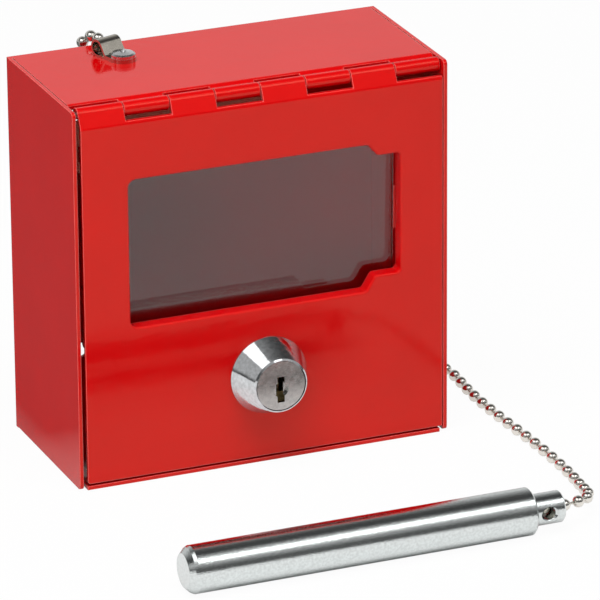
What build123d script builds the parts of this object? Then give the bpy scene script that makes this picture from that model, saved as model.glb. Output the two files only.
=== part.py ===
from build123d import *
import os
from math import cos, radians, sin, tan

# Break glass key box: a folded steel box, a top-hinged door with a glass pane
# behind its window, a cam lock, and a steel hammer on a bead chain.
# Millimetres. +Z is up, the door faces -Y, the origin is the middle of the
# underside of the box.

# ---------------------------------------------------------------- box
box_width = 125.0          # outside, along X
box_depth = 60.0           # outside, along Y, door included
box_height = 125.0         # outside, along Z
sheet = 1.2                # steel sheet of the box and the door
fold_radius = 0.4          # inside radius of a fold
seam_top = 0.35            # slit between the top and the side walls
seam_bottom = 1.3          # slit between the bottom and the side walls
corner_relief = 1.5        # radius of the relief hole at a back corner
side_lift = 0.3            # side walls end this far above the underside
wall_corner = 1.5          # rounding of the side walls' front corners

# ---------------------------------------------------------------- hinge
knuckle_count = 8          # the door has the first, the box has the last
pin_radius = 1.0
pin_clearance = 0.08       # radial
pin_below_top = 2.2        # pin axis under the top of the box
pin_behind_front = 4.4     # pin axis behind the face of the door
knuckle_gap = 0.4          # between two knuckles
curl_end_box = 310.0       # where the box's curl ends, degrees round the pin
curl_end_door = -55.0      # where the door's curl ends
curl_start_box = 72.0      # where the box's curl leaves the top wall
curl_start_door = 153.0    # where the door's curl leaves its shoulder
groove_depth = 0.8         # the top dips before it curls
groove_behind_pin = 2.9
groove_run = 1.5           # length of the slope into the groove
groove_level = 2.0         # flat part behind the slope, made with the knuckles
bend_blend = 0.75          # midline radius of the small bends
shoulder_run = 4.0         # flat part under the shoulder, made with the knuckles
top_slot_behind_pin = 3.6  # rear edge of the slots in the top wall
door_slot_below_pin = 2.8  # lower edge of the slots in the door
slot_side_gap = 0.35       # slot beside a knuckle

# ---------------------------------------------------------------- door
door_gap_left = 1.5
door_gap_right = 0.4
door_gap_bottom = 2.0      # above the underside of the box
door_corner = 0.8

# ---------------------------------------------------------------- window
window_from_left = 18.0    # from the side of the box
window_from_right = 24.7   # to the right end of the tall part
window_notch_from_right = 15.9  # to the end of the lower, stepped part
window_bottom = 51.8
window_below_top = 24.4    # under the top of the box
window_step_bottom = 5.0   # height of the lower step
window_step_top = 3.9      # height of the upper step
window_slope = 3.1         # run of the slope at each step
window_corner = 2.6        # corners on the left
window_step_corner = 1.6   # corners of the steps
collar_depth = 4.5         # edge of the window, flanged inwards
collar_edge = 0.8          # rounding of the flange at the face of the door

# ---------------------------------------------------------------- pane
pane_from_left = 6.0       # from the side of the box
pane_from_right = 16.3
pane_bottom = 45.9
pane_below_top = 14.9      # under the top of the box
pane_thickness = 2.5
pane_lean = 1.1            # degrees; the top leans against the collar
pane_touch = 0.05          # between the pane and the collar at the top
pane_edge = 0.2            # ground edge
channel_sheet = 1.0
channel_gap = 0.2          # under and above the pane
channel_back_gap = 0.25    # behind the lower edge of the pane
channel_lip = 4.6          # height of the channel's lip behind the pane
channel_flange = 4.2       # height of the flange on the door
channel_over_pane = 1.0    # the channels run past both ends of the pane
stop_height = 14.0
stop_gap = 0.3
stop_foot = 8.0
stop_side_gap = 1.5        # beside the collar
stop_behind_collar = 1.0
spring_sheet = 0.5
spring_length = 38.5
spring_under_pane_top = 6.6
spring_gap = 0.25
spring_slant = 2.0         # the leaf's upper end stands off this far
spring_width = 5.0         # along Y
spring_off_door = 1.0      # the leaf runs free of the door
spring_tab = 1.5           # height of the web between leaf and foot
spring_foot_height = 10.0
spring_foot_reach = 9.5
spring_curl = 1.2
stud_radius = 1.5
stud_length = 3.2
stud_from_pane_end = 4.2
nut_across = 5.5
nut_height = 2.4

# ---------------------------------------------------------------- lock
lock_x = 1.1
lock_z = 29.3
cone_base_radius = 12.8
cone_face_radius = 8.95
cone_height = 10.9
cone_land = 0.6            # straight edge at the foot of the cone
cone_rim = 0.5             # small chamfer of the front ring
barrel_radius = 9.3
barrel_flat = 7.8          # from the axis to each of its two flats
barrel_length = 17.0       # behind the face of the door
barrel_fit = 0.15
plug_radius = 6.0
plug_clearance = 0.05
plug_face_radius = 8.1
plug_face_gap = 0.25       # dark ring between the cone and the plug's face
plug_face_thickness = 1.2
plug_recess = 0.25         # the plug's face sits below the ring
plug_end_gap = 0.1
keyway_drop = 1.3          # middle of the keyway under the axis
keyway_width = 2.4
keyway_height = 8.5
keyway_eye = 2.5           # radius of the round recess round the keyway
keyway_eye_depth = 1.2
keyway_past_wafers = 1.0
wafer_count = 5
wafer_pitch = 3.2
wafer_first = 5.0          # behind the plug's face
wafer_thickness = 1.0
wafer_width = 7.6
wafer_slot_gap = 0.1
wafer_edge = 0.15          # wafers end this far inside the plug's surface
wafer_window = 5.2
wafer_window_width = 2.6
wafer_spring_radius = 0.7
wafer_spring_wall = 0.25
wafer_spring_length = 3.0
wafer_spring_x = 2.7
wafer_spring_clearance = 0.1
channel_width = 8.2        # grooves in the housing that take the wafers
channel_radius = 7.5
drive_side = 7.0           # square tail of the plug
drive_gap = 0.05
stop_washer_thickness = 1.0
stop_washer_radius = 8.6
cam_thickness = 2.0
cam_length = 24.0          # from the axis to the tip
cam_width = 15.0
cam_gap = 0.1
cam_tip_radius = 3.0
cam_arm_width = 12.0
stop_tab_width = 5.0
stop_tab_height = 2.0      # beyond the washer
screw_head_radius = 4.4
screw_head_height = 2.2
screw_shank_radius = 1.95
screw_fit = 0.05
screw_depth = 7.0
screw_end_gap = 1.0
screw_round = 1.0
screw_slot = 1.0           # width and depth
lock_nut_across = 24.0
lock_nut_height = 4.0
tooth_washer_thickness = 0.8
tooth_washer_radius = 12.4
tooth_count = 16
tooth_depth = 1.2
nut_bore_fit = 0.1

# ---------------------------------------------------------------- strike
strike_gap = 0.4           # between the strike and the cam in front of it
strike_top = 10.2
strike_width = 24.0
strike_foot = 9.0

# ---------------------------------------------------------------- inside
hook_width = 8.0
hook_plate_height = 16.0
hook_below_top = 24.0      # top of the hook's plate under the top of the box
hook_reach = 12.0
hook_rise = 6.0
hook_sheet = 1.5
hook_bend = 1.6
hook_rivet_radius = 1.6
hook_rivet_head = 2.8
hook_rivet_head_height = 1.0
hook_rivet_round = 0.8
hook_rivet_below = 0.05    # its tail stays under the back of the box
rivet_fit = 0.05
mount_hole_radius = 2.5
mount_hole_x = 40.0
mount_hole_inset = 22.5    # from the top and the bottom of the box

# ---------------------------------------------------------------- strap
rivet_x = -30.2
rivet_from_back = 19.1
strap_angle = 18.0         # degrees from straight back, towards the left
strap_sheet = 0.7
strap_stack = 1.35         # both layers pressed together under the rivet
strap_width = 8.0
strap_loop = 8.2           # from the rivet to the middle of the loop
loop_inner = 2.1
loop_close_angle = 35.0    # where the strip leaves the loop, above the level
loop_neck = 1.6            # run of the slope from the loop down to the lower strip
loop_neck_bend = 0.8
strap_hole = 1.2           # lets the chain's wire out of the loop
rivet_head_radius = 3.9
rivet_head_height = 1.6
rivet_rim = 0.9
rivet_dimple = 1.1
rivet_dimple_floor = 0.44
rivet_dimple_depth = 0.6
rivet_crown = 3.3          # radius of the flatter top of the head
rivet_crown_drop = 0.3
rivet_tail_end = 2.2       # radius of the tail at its end
rivet_shank = 1.6
rivet_tail_radius = 2.8
rivet_tail_height = 1.0

# ---------------------------------------------------------------- hammer
hammer_y = -115.5
hammer_left = -61.5
hammer_shoulder = 52.5     # where the body steps down to the neck
hammer_neck_end = 62.8
hammer_radius = 7.5
hammer_neck_radius = 5.0
hammer_chamfer = 1.6
hammer_second_chamfer = 0.5
hammer_edge = 0.6
neck_bore_radius = 2.1     # cross hole, takes the last bead
neck_bore_x = 57.2
neck_bore_chamfer = 0.5
neck_axial_radius = 0.9    # lets the wire out of the end

# ---------------------------------------------------------------- chain
bead_radius = 1.9
wire_radius = 0.45
wire_in_bead = 0.3
floor_gap = 0.03           # under the beads that lie on the floor
route_share = 0.45         # of the shorter run, taken by a turn
chain_rise = 3.0           # of the first bead over the top of the box
strap_wire_gap = 0.3       # between the strap and the chain
neck_wire_gap = 1.4        # between the hammer and the chain, room to tip
wire_end_gap = 0.35        # the neck's wire ends this far before the chain

front_y = -box_depth / 2
back_y = box_depth / 2
door_back_y = front_y + sheet
inner_x = box_width / 2 - sheet
pin_y = front_y + pin_behind_front
pin_z = box_height - pin_below_top
curl_inner = pin_radius + pin_clearance
curl_mid = curl_inner + sheet / 2
door_left = -inner_x + door_gap_left
door_right = inner_x - door_gap_right
knuckle_pitch = (door_right - door_left) / knuckle_count
fold_outer = fold_radius + sheet
window_left = window_from_left - box_width / 2
window_right = box_width / 2 - window_from_right
window_notch_right = box_width / 2 - window_notch_from_right
window_top = box_height - window_below_top
window_notch_bottom = window_bottom + window_step_bottom
window_notch_top = window_top - window_step_top
pane_left = pane_from_left - box_width / 2
pane_right = box_width / 2 - pane_from_right
pane_top = box_height - pane_below_top
rivet_y = back_y - rivet_from_back
spring_top = pane_top - spring_under_pane_top
spring_bottom = spring_top - spring_length
hook_z = box_height - hook_below_top


def slab(shape, y_from, y_to):
    """Thicken an outline drawn in X and Z from one Y to another."""
    return extrude(Plane.XZ.offset(-y_from) * shape, amount=y_from - y_to)


def strip(shape, x_from, x_to):
    """Thicken a section drawn in Y and Z from one X to another."""
    return extrude(Plane.YZ.offset(x_from) * shape, amount=x_to - x_from)


def block(x0, x1, y0, y1, z0, z1):
    """A box between two corners."""
    middle = Vector((x0 + x1) / 2, (y0 + y1) / 2, (z0 + z1) / 2)
    return Pos(middle) * Box(x1 - x0, y1 - y0, z1 - z0)


def rod_y(radius, y_from, y_to, x=0.0, z=0.0):
    """A round bar along Y."""
    bar = Rot(90, 0, 0) * Cylinder(radius, y_to - y_from)
    return Pos(x, (y_from + y_to) / 2, z) * bar


def round_pin(radius, angle):
    """A point on a circle round the hinge pin, in Y and Z."""
    turn = radians(angle)
    return (pin_y + radius * cos(turn), pin_z + radius * sin(turn))


def curl_arc(start, end):
    """Midline of a rolled knuckle round the pin."""
    return CenterArc((pin_y, pin_z), curl_mid, start, end - start)


def knuckle_range(index):
    """Left and right end of a knuckle."""
    left = door_left + index * knuckle_pitch
    return (left + knuckle_gap / 2, left + knuckle_pitch - knuckle_gap / 2)


def is_door_knuckle(index):
    return index % 2 == 0


# ---------------------------------------------------------------- box shell
def folded_tray():
    """Back plate with four walls folded forward, open at the front."""
    outer = block(-box_width / 2, box_width / 2, front_y, back_y, 0, box_height)
    back_edges = outer.faces().sort_by(Axis.Y)[-1].edges()
    outer = fillet(back_edges, fold_outer)
    cavity = block(-inner_x, inner_x, front_y - 1, back_y - sheet, sheet, box_height - sheet)
    cavity_edges = cavity.faces().sort_by(Axis.Y)[-1].edges()
    cavity = fillet(cavity_edges, fold_radius)
    return outer - cavity


def open_seams(tray):
    """Slits of the unwelded corners, with a relief hole at the end of each."""
    slit_end = back_y - fold_outer - corner_relief
    for side in (-1, 1):
        low = sorted((side * inner_x, side * (inner_x - seam_bottom)))
        high = sorted((side * inner_x, side * (inner_x - seam_top)))
        tray -= block(low[0], low[1], front_y - 1, slit_end, -1, sheet + fold_radius)
        tray -= block(high[0], high[1], front_y - 1, slit_end, box_height - sheet - 0.01, box_height + 1)
        hole_x = side * (inner_x - corner_relief)
        hole = Cylinder(corner_relief, 3 * sheet)
        tray -= Pos(hole_x, slit_end, 0) * hole
        edge = sorted((side * inner_x, side * (box_width / 2 + 1)))
        tray -= block(edge[0], edge[1], front_y - 1, slit_end, -1, side_lift)
    return tray


def round_wall_corners(tray):
    """Round the front corners of both side walls."""
    for side in (-1, 1):
        for level in (side_lift, box_height):
            corner_edges = tray.edges().filter_by(Axis.X)
            corner_edges = [
                edge
                for edge in corner_edges
                if abs(edge.center().Y - front_y) < 0.01
                and abs(edge.center().Z - level) < 0.01
                and side * edge.center().X > inner_x
            ]
            tray = fillet(corner_edges, wall_corner)
    return tray


def top_midline():
    """Midline of the top wall from the groove round the pin, in Y and Z."""
    level = box_height - sheet / 2
    groove_y = pin_y + groove_behind_pin
    slope_start = (groove_y + groove_run, level)
    groove = (groove_y, level - groove_depth)
    lift_off = round_pin(curl_mid, curl_start_box)
    wall_start = (slope_start[0] + groove_level, level)
    wall = FilletPolyline(wall_start, slope_start, groove, lift_off, radius=bend_blend)
    return [wall, curl_arc(curl_start_box, curl_end_box)]


def hinge_side(tray):
    """Replace the front of the top wall by the groove and the box's knuckles."""
    wall_end = inner_x - seam_top
    joint_y = pin_y + groove_behind_pin + groove_run + groove_level
    tray -= block(-wall_end, wall_end, front_y - 1, joint_y, box_height - 2 * sheet, box_height + 1)
    section = trace(top_midline(), line_width=sheet)
    front = strip(section, -wall_end, wall_end)
    slot_y = pin_y + top_slot_behind_pin
    below = pin_z - 2 * (curl_mid + sheet)
    for index in range(knuckle_count):
        start, end = knuckle_range(index)
        if is_door_knuckle(index):
            start -= slot_side_gap
            end += slot_side_gap
            if index == 0:
                start = -wall_end - 1
            front -= block(start, end, front_y - 1, slot_y, below, box_height + 1)
    front -= block(door_right, wall_end + 1, front_y - 1, slot_y, below, box_height + 1)
    return tray + front


def body_shell():
    """The folded box with its knuckles and the holes in its back."""
    shell = hinge_side(round_wall_corners(open_seams(folded_tray())))
    for x in (-mount_hole_x, mount_hole_x):
        for z in (mount_hole_inset, box_height - mount_hole_inset):
            shell -= rod_y(mount_hole_radius, back_y - 2 * sheet, back_y + 1, x, z)
    shell -= rod_y(hook_rivet_radius + rivet_fit, back_y - 2 * sheet, back_y + 1, 0, hook_rivet_z())
    shank_hole = Cylinder(rivet_shank + rivet_fit, 4 * sheet)
    shell -= Pos(rivet_x, rivet_y, box_height) * shank_hole
    return shell


# ---------------------------------------------------------------- door
def window_outline(grow=0.0):
    """Outline of the window in X and Z."""
    points = [
        (window_left, window_bottom),
        (window_right - window_slope, window_bottom),
        (window_right, window_notch_bottom),
        (window_notch_right, window_notch_bottom),
        (window_notch_right, window_notch_top),
        (window_right + window_slope / 3, window_notch_top),
        (window_right - window_slope * 2 / 3, window_top),
        (window_left, window_top),
    ]
    radii = [window_corner] + 6 * [window_step_corner] + [window_corner]
    outline = make_face(FilletPolyline(*points, radius=radii, close=True))
    if grow:
        outline = offset(outline, grow)
    return outline


def door_section():
    """Midline of the door's shoulder and its knuckles, in Y and Z."""
    plane_y = front_y + sheet / 2
    touch = round_pin(curl_mid, curl_start_door)
    slope = tan(radians(180 - curl_start_door))
    bend_z = touch[1] - (touch[0] - plane_y) / slope
    shoulder = FilletPolyline(
        (plane_y, bend_z - shoulder_run), (plane_y, bend_z), touch, radius=2 * bend_blend
    )
    return [shoulder, curl_arc(curl_start_door, curl_end_door)], bend_z - shoulder_run


def door_panel():
    """Door sheet with its flanged window, shoulder, knuckles and studs."""
    midline, joint_z = door_section()
    width = door_right - door_left
    plate = Pos((door_left + door_right) / 2, (door_gap_bottom + joint_z) / 2)
    plate = plate * Rectangle(width, joint_z - door_gap_bottom)
    low_corners = plate.vertices().group_by(Axis.Y)[0]
    plate = fillet(low_corners, door_corner)
    door = slab(plate - window_outline(), front_y, door_back_y)
    head = strip(trace(midline, line_width=sheet), door_left, door_right)
    slot_z = pin_z - door_slot_below_pin
    for index in range(knuckle_count):
        if not is_door_knuckle(index):
            start, end = knuckle_range(index)
            start -= slot_side_gap
            end += slot_side_gap
            if index == knuckle_count - 1:
                end = door_right + 1
            head -= block(start, end, front_y - 1, pin_y + 4 * sheet, slot_z, box_height + 1)
    door += head
    collar = window_outline(sheet) - window_outline()
    door += slab(collar, front_y, front_y + collar_depth)
    rim = door.faces().sort_by(Axis.Y)[0].inner_wires()[0].edges()
    door = fillet(rim, collar_edge)
    hole = rod_y(barrel_radius + barrel_fit, front_y - 1, door_back_y + 1, lock_x, lock_z)
    flats = block(
        lock_x - barrel_flat - barrel_fit,
        lock_x + barrel_flat + barrel_fit,
        front_y - 2,
        door_back_y + 2,
        lock_z - box_width,
        lock_z + box_width,
    )
    door -= hole & flats
    stud = rod_y(stud_radius, door_back_y, door_back_y + stud_length, stud_x(), spring_middle())
    return door + stud


def hinge_pin():
    """Plain wire through all knuckles."""
    length = 2 * inner_x - 2 * knuckle_gap
    return Pos(0, pin_y, pin_z) * (Rot(0, 90, 0) * Cylinder(pin_radius, length))


# ---------------------------------------------------------------- pane
def pane_front_y(z):
    """Front face of the leaning pane at a height."""
    touch_z = window_top + sheet
    touch_y = front_y + collar_depth + pane_touch
    return touch_y + (touch_z - z) * tan(radians(pane_lean))


def glass_pane():
    """The pane that is broken in an emergency."""
    height = pane_top - pane_bottom
    pane = Box(pane_right - pane_left, pane_thickness, height)
    pane = chamfer(pane.edges(), pane_edge)
    middle_z = (pane_top + pane_bottom) / 2
    middle_y = pane_front_y(middle_z) + pane_thickness / 2 / cos(radians(pane_lean))
    place = Pos((pane_left + pane_right) / 2, middle_y, middle_z)
    return place * (Rot(pane_lean, 0, 0) * pane)


def channel_back_y():
    """Front face of the lip behind the pane."""
    return pane_front_y(pane_bottom) + pane_thickness + channel_back_gap


def pane_channel(side):
    """Folded channel under (-1) or over (+1) the pane, on the door's back."""
    edge = pane_bottom - channel_gap if side < 0 else pane_top + channel_gap
    web = edge + side * channel_sheet / 2
    front = door_back_y + channel_sheet / 2
    back = channel_back_y() + channel_sheet / 2
    path = FilletPolyline(
        (front, edge - side * channel_flange),
        (front, web),
        (back, web),
        (back, edge - side * channel_lip),
        radius=channel_sheet,
    )
    section = trace(path, line_width=channel_sheet)
    return strip(section, pane_left - channel_over_pane, pane_right + channel_over_pane)


def pane_end_stop():
    """Bracket on the door that the pane's right end stands against."""
    edge_x = pane_right + stop_gap
    foot_x = window_notch_right + sheet + stop_side_gap
    leg_y = front_y + collar_depth + stop_behind_collar
    path = FilletPolyline(
        (edge_x, leg_y + channel_sheet / 2),
        (foot_x + channel_sheet / 2, leg_y + channel_sheet / 2),
        (foot_x + channel_sheet / 2, door_back_y + channel_sheet / 2),
        (foot_x + stop_foot, door_back_y + channel_sheet / 2),
        radius=channel_sheet,
    )
    section = trace(path, line_width=channel_sheet)
    low = (window_notch_bottom + window_notch_top - stop_height) / 2
    return extrude(Pos(0, 0, low) * section, amount=stop_height)


def spring_middle():
    """Height of the spring's foot and of its stud."""
    return (spring_top + spring_bottom) / 2


def stud_x():
    return pane_left + stud_from_pane_end


def leaf_x(z):
    """Midline of the slanted leaf at a height."""
    share = (z - spring_bottom) / (spring_top - spring_bottom)
    return pane_left - spring_gap - spring_sheet / 2 - spring_slant * share


def pane_spring():
    """Leaf spring that presses on the pane's left end."""
    curl_x = leaf_x(spring_bottom) - spring_curl
    path = FilletPolyline(
        (leaf_x(spring_top), spring_top),
        (leaf_x(spring_bottom + spring_curl), spring_bottom + spring_curl),
        (curl_x, spring_bottom),
        radius=spring_curl,
    )
    leaf_y = door_back_y + spring_off_door
    leaf = slab(trace(path, line_width=spring_sheet), leaf_y, leaf_y + spring_width)
    low = spring_middle() - spring_foot_height / 2
    high = spring_middle() + spring_foot_height / 2
    tab_x = leaf_x(low) + spring_sheet / 2
    tab_out = leaf_x(high) - spring_sheet / 2
    tab = block(tab_out, tab_x, door_back_y, door_back_y + spring_tab, low, high)
    foot_end = tab_x + spring_foot_reach
    foot = block(tab_out, foot_end, door_back_y, door_back_y + spring_sheet, low, high)
    foot -= rod_y(stud_radius + rivet_fit, door_back_y - 1, door_back_y + 1, stud_x(), spring_middle())
    return leaf + tab + foot


def spring_nut():
    """Small hexagon nut on the door's stud."""
    hexagon = RegularPolygon(nut_across / 2, 6, major_radius=False)
    outline = Pos(stud_x(), spring_middle()) * (hexagon - Circle(stud_radius + rivet_fit))
    start = door_back_y + spring_sheet
    return slab(outline, start, start + nut_height)


# ---------------------------------------------------------------- lock
barrel_end_y = front_y + barrel_length
cone_front_y = front_y - cone_height
plug_face_y = cone_front_y + plug_recess
plug_face_back_y = plug_face_y + plug_face_thickness
drive_start_y = barrel_end_y + plug_end_gap
drive_end_y = drive_start_y + stop_washer_thickness + cam_thickness + cam_gap


def at_lock(shape):
    return Pos(lock_x, 0, lock_z) * shape


def lock_revolve(points):
    """Revolve an outline of (radius, y) points round the lock's axis."""
    outline = make_face(Polyline(*points, close=True))
    return at_lock(revolve(outline, axis=Axis.Y))


def lock_housing():
    """Cone-shaped head and threaded barrel, bored for the plug."""
    body = lock_revolve(
        [
            (0, cone_front_y),
            (cone_face_radius - cone_rim, cone_front_y),
            (cone_face_radius, cone_front_y + cone_rim),
            (cone_base_radius, front_y - cone_land),
            (cone_base_radius, front_y),
            (barrel_radius, front_y),
            (barrel_radius, barrel_end_y),
            (0, barrel_end_y),
        ]
    )
    reach = 2 * cone_base_radius
    head = block(-reach, reach, cone_front_y - 1, front_y, -reach, reach)
    flats = block(-barrel_flat, barrel_flat, front_y, barrel_end_y + 1, -reach, reach)
    body = body & at_lock(head + flats)
    recess_end = plug_face_back_y + plug_end_gap
    body -= at_lock(rod_y(plug_face_radius + plug_face_gap, cone_front_y - 1, recess_end))
    body -= at_lock(rod_y(plug_radius + plug_clearance, cone_front_y - 1, barrel_end_y + 1))
    groove_start = plug_face_y + wafer_first - wafer_thickness
    groove_end = groove_start + wafer_count * wafer_pitch
    half = channel_width / 2
    groove = block(-half, half, groove_start, groove_end, -reach, reach)
    groove = groove & rod_y(channel_radius, groove_start, groove_end)
    return body - at_lock(groove)


def wafer_y(index):
    """Front face of a wafer."""
    return plug_face_y + wafer_first + index * wafer_pitch


def keyway_outline():
    """Upright slot for the key."""
    slot = Rectangle(keyway_width, keyway_height)
    return Pos(0, -keyway_drop) * slot


def lock_plug():
    """Turning plug with its face, keyway, wafer slots and square tail."""
    plug = rod_y(plug_face_radius, plug_face_y, plug_face_back_y)
    plug += rod_y(plug_radius, plug_face_back_y, drive_start_y)
    half = drive_side / 2
    plug += block(-half, half, drive_start_y, drive_end_y, -half, half)
    keyway_end = wafer_y(wafer_count - 1) + wafer_thickness + keyway_past_wafers
    plug -= slab(keyway_outline(), plug_face_y - 1, keyway_end)
    eye = Pos(0, -keyway_drop) * Circle(keyway_eye)
    plug -= slab(eye, plug_face_y - 1, plug_face_y + keyway_eye_depth)
    slot_half = wafer_width / 2 + wafer_slot_gap
    for index in range(wafer_count):
        start = wafer_y(index) - wafer_slot_gap
        end = wafer_y(index) + wafer_thickness + wafer_slot_gap
        plug -= block(-slot_half, slot_half, start, end, -plug_radius - 1, plug_radius + 1)
    plug -= rod_y(screw_shank_radius + screw_fit, drive_end_y - screw_depth, drive_end_y + 1)
    return at_lock(plug)


def lock_wafers():
    """Brass wafers at the shear line, as the key holds them."""
    rim = plug_radius - wafer_edge
    wafers = []
    outline = Circle(rim) & Rectangle(wafer_width, 3 * rim)
    outline -= Pos(0, -keyway_drop) * Rectangle(wafer_window_width, wafer_window)
    pocket = Rectangle(
        2 * (wafer_spring_radius + wafer_spring_clearance),
        wafer_spring_length + 2 * wafer_spring_clearance,
    )
    outline -= Pos(wafer_spring_x, 0) * pocket
    for index in range(wafer_count):
        wafer = slab(outline, wafer_y(index), wafer_y(index) + wafer_thickness)
        wafers.append(at_lock(wafer))
    return wafers


def wafer_springs():
    """One closed-coil spring beside each wafer's window."""
    springs = []
    for index in range(wafer_count):
        coil = Cylinder(wafer_spring_radius, wafer_spring_length)
        coil -= Cylinder(wafer_spring_radius - wafer_spring_wall, wafer_spring_length + 1)
        middle_y = wafer_y(index) + wafer_thickness / 2
        coil = coil & Box(plug_radius, wafer_thickness, plug_radius)
        springs.append(at_lock(Pos(wafer_spring_x, middle_y, 0) * coil))
    return springs


def barrel_bore():
    """Hole of the washer and the nut, round the threaded barrel."""
    return Circle(barrel_radius + nut_bore_fit)


def lock_washer():
    """Toothed washer between the door and the nut."""
    ring = Circle(tooth_washer_radius) - barrel_bore()
    tooth = Pos(tooth_washer_radius, 0) * Rectangle(2 * tooth_depth, tooth_depth)
    ring -= PolarLocations(0, tooth_count) * tooth
    return at_lock(slab(ring, door_back_y, door_back_y + tooth_washer_thickness))


def lock_nut():
    """Hexagon nut that clamps the lock to the door."""
    start = door_back_y + tooth_washer_thickness
    hexagon = RegularPolygon(lock_nut_across / 2, 6, major_radius=False)
    nut = slab(hexagon - barrel_bore(), start, start + lock_nut_height)
    return at_lock(nut)


def square_hole():
    side = drive_side + 2 * drive_gap
    return Rectangle(side, side)


def cam_stop_washer():
    """Washer on the square that limits the turn to a quarter."""
    tab = Pos(0, stop_washer_radius) * Rectangle(stop_tab_width, 2 * stop_tab_height)
    outline = Circle(stop_washer_radius) + tab - square_hole()
    return at_lock(slab(outline, drive_start_y, drive_start_y + stop_washer_thickness))


def lock_cam():
    """Flat cam, pointing right when the lock is open."""
    start = drive_start_y + stop_washer_thickness + cam_gap / 2
    reach = cam_length - cam_width / 2
    arm = Pos(cam_length - reach / 2 - cam_tip_radius / 2, 0)
    arm = arm * Rectangle(reach + cam_tip_radius, cam_arm_width)
    arm = fillet(arm.vertices().group_by(Axis.X)[-1], cam_tip_radius)
    outline = Circle(cam_width / 2) + arm - square_hole()
    return at_lock(slab(outline, start, start + cam_thickness))


def cam_screw():
    """Pan-head screw that holds the cam on the square."""
    head = rod_y(screw_head_radius, drive_end_y, drive_end_y + screw_head_height)
    head = fillet(head.edges().sort_by(Axis.Y)[-1], screw_round)
    slot_y = drive_end_y + screw_head_height - screw_slot
    reach = 2 * screw_head_radius
    slot = block(-reach, reach, slot_y, slot_y + reach, -screw_slot / 2, screw_slot / 2)
    shank = rod_y(screw_shank_radius, drive_end_y - screw_depth + screw_end_gap, drive_end_y)
    return at_lock(head - slot + shank)


# ---------------------------------------------------------------- strike, hook
def lock_strike():
    """Angle on the floor of the box; the cam turns down behind it."""
    cam_front = drive_start_y + stop_washer_thickness + cam_gap / 2
    plate_y = cam_front - strike_gap - sheet / 2
    path = FilletPolyline(
        (plate_y - strike_foot, sheet * 1.5),
        (plate_y, sheet * 1.5),
        (plate_y, strike_top),
        radius=sheet,
    )
    section = trace(path, line_width=sheet)
    return strip(section, lock_x - strike_width / 2, lock_x + strike_width / 2)


def hook_rivet_z():
    return hook_z - hook_plate_height / 2


def key_hook():
    """Bent strip on the back plate that the key hangs from."""
    face = back_y - sheet
    plate = face - hook_sheet / 2
    low = hook_z - hook_plate_height
    path = FilletPolyline(
        (plate, hook_z),
        (plate, low),
        (plate - hook_reach, low),
        (plate - hook_reach, low + hook_rise),
        radius=hook_bend,
    )
    hook = strip(trace(path, line_width=hook_sheet), -hook_width / 2, hook_width / 2)
    bore = rod_y(hook_rivet_radius + rivet_fit, face - 3 * hook_sheet, face + 1, 0, hook_rivet_z())
    return hook - bore


def key_hook_rivet():
    """Rivet through the hook and the back plate, flush at the back."""
    head_y = back_y - sheet - hook_sheet
    shank = rod_y(hook_rivet_radius, head_y, back_y - hook_rivet_below, 0, hook_rivet_z())
    head = rod_y(hook_rivet_head, head_y - hook_rivet_head_height, head_y, 0, hook_rivet_z())
    head = fillet(head.edges().sort_by(Axis.Y)[0], hook_rivet_round)
    return shank + head


# ---------------------------------------------------------------- strap
def at_strap(shape):
    """Turn a shape built along +Y and put it on the rivet."""
    place = Pos(rivet_x, rivet_y, box_height)
    return place * (Rot(0, 0, strap_angle) * shape)


def chain_strap():
    """Strip folded round the chain's first bead, both ends under the rivet."""
    mid = strap_sheet / 2
    loop_z = strap_sheet + loop_inner
    loop_mid = loop_inner + mid
    low = (0.0, mid)
    top_start = (
        strap_loop + loop_mid * cos(radians(180 - loop_close_angle)),
        loop_z + loop_mid * sin(radians(180 - loop_close_angle)),
    )
    upper_z = strap_stack - mid
    lower = Line(low, (strap_loop, mid))
    loop = CenterArc((strap_loop, loop_z), loop_mid, -90, 270 - loop_close_angle)
    neck = (strap_loop - loop_mid - loop_neck, upper_z)
    upper = FilletPolyline(top_start, neck, (0.0, upper_z), radius=loop_neck_bend)
    half = strap_width / 2
    strap = strip(trace(lower, line_width=strap_sheet), -half, half)
    strap += strip(trace(loop, line_width=strap_sheet), -half, half)
    strap += strip(trace(upper, line_width=strap_sheet), -half, half)
    ends = Cylinder(half, strap_stack, align=(Align.CENTER, Align.CENTER, Align.MIN))
    strap += ends
    strap -= Cylinder(rivet_shank + rivet_fit, 8 * strap_sheet)
    wire_hole = rod_y(strap_hole, strap_loop, strap_loop + 3 * loop_mid, 0, loop_z)
    strap -= wire_hole
    return at_strap(strap)


def strap_rivet():
    """Blind rivet with a dished middle, clenched under the top wall."""
    base = strap_stack
    section = [
        (0, base + rivet_head_height - rivet_dimple_depth),
        (rivet_dimple_floor, base + rivet_head_height - rivet_dimple_depth),
        (rivet_dimple, base + rivet_head_height),
        (rivet_crown, base + rivet_head_height - rivet_crown_drop),
        (rivet_head_radius, base + rivet_rim),
        (rivet_head_radius, base),
        (rivet_shank, base),
        (rivet_shank, -sheet),
        (rivet_tail_radius, -sheet),
        (rivet_tail_end, -sheet - rivet_tail_height),
        (0, -sheet - rivet_tail_height),
    ]
    outline = make_face(Polyline(*section, close=True))
    return at_strap(revolve(Plane.XZ * outline, axis=Axis.Z))


def bead_in_strap():
    """First bead of the chain, held in the strap's loop."""
    bead = Sphere(bead_radius)
    wire_end = loop_inner + strap_sheet + strap_wire_gap
    wire = rod_y(wire_radius, bead_radius - wire_in_bead, wire_end)
    place = Pos(0, strap_loop, strap_sheet + loop_inner)
    return at_strap(place * (bead + wire))


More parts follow.
